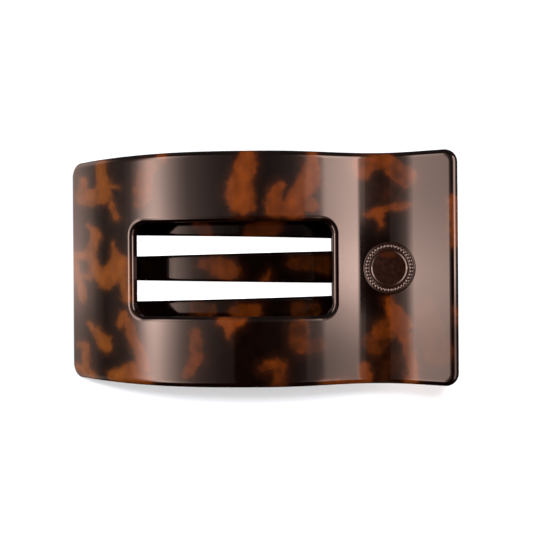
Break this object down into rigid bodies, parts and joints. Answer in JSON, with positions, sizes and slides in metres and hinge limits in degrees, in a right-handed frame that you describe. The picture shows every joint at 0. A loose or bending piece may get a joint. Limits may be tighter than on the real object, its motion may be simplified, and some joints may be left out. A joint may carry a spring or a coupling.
{
  "type": "spring hair barrette",
  "caption": "Wide curved hair clip: a windowed plate with a thumb tab, hinged by a sprung pin to a slotted fork behind it, with a round badge above the hinge.",
  "frame": {"origin": "on the surface that the clip lies on, under the middle of its box", "axes": "+X from the jaws to the thumb tabs, +Y across the clip along the hinge pin, +Z out of the plate's face"},
  "size_m": [0.0866, 0.0516, 0.0229],
  "materials": {
    "tortoise_plastic": "polished tortoiseshell acetate",
    "fork_plastic": "polished tortoiseshell acetate",
    "badge_plastic": "moulded satin brown",
    "pin_steel": "plain drawn steel",
    "spring_steel": "drawn spring wire"
  },
  "bodies": {
    "fork_body": {"back_fork": "fork_plastic", "torsion_spring": "spring_steel"},
    "plate_body": {"front_plate": "tortoise_plastic", "medallion": "badge_plastic", "hinge_pin": "pin_steel"}
  },
  "joints": [
    {"name": "jaw_hinge", "type": "hinge", "parent": "fork_body", "child": "plate_body", "pos_m": [0.02858, 0, 0.01056], "axis": [0, 1, 0], "range_deg": [0, 60], "stiffness_Nm_per_rad": 0.06, "springref_deg": -68.75, "deforming": ["torsion_spring"]}
  ]
}
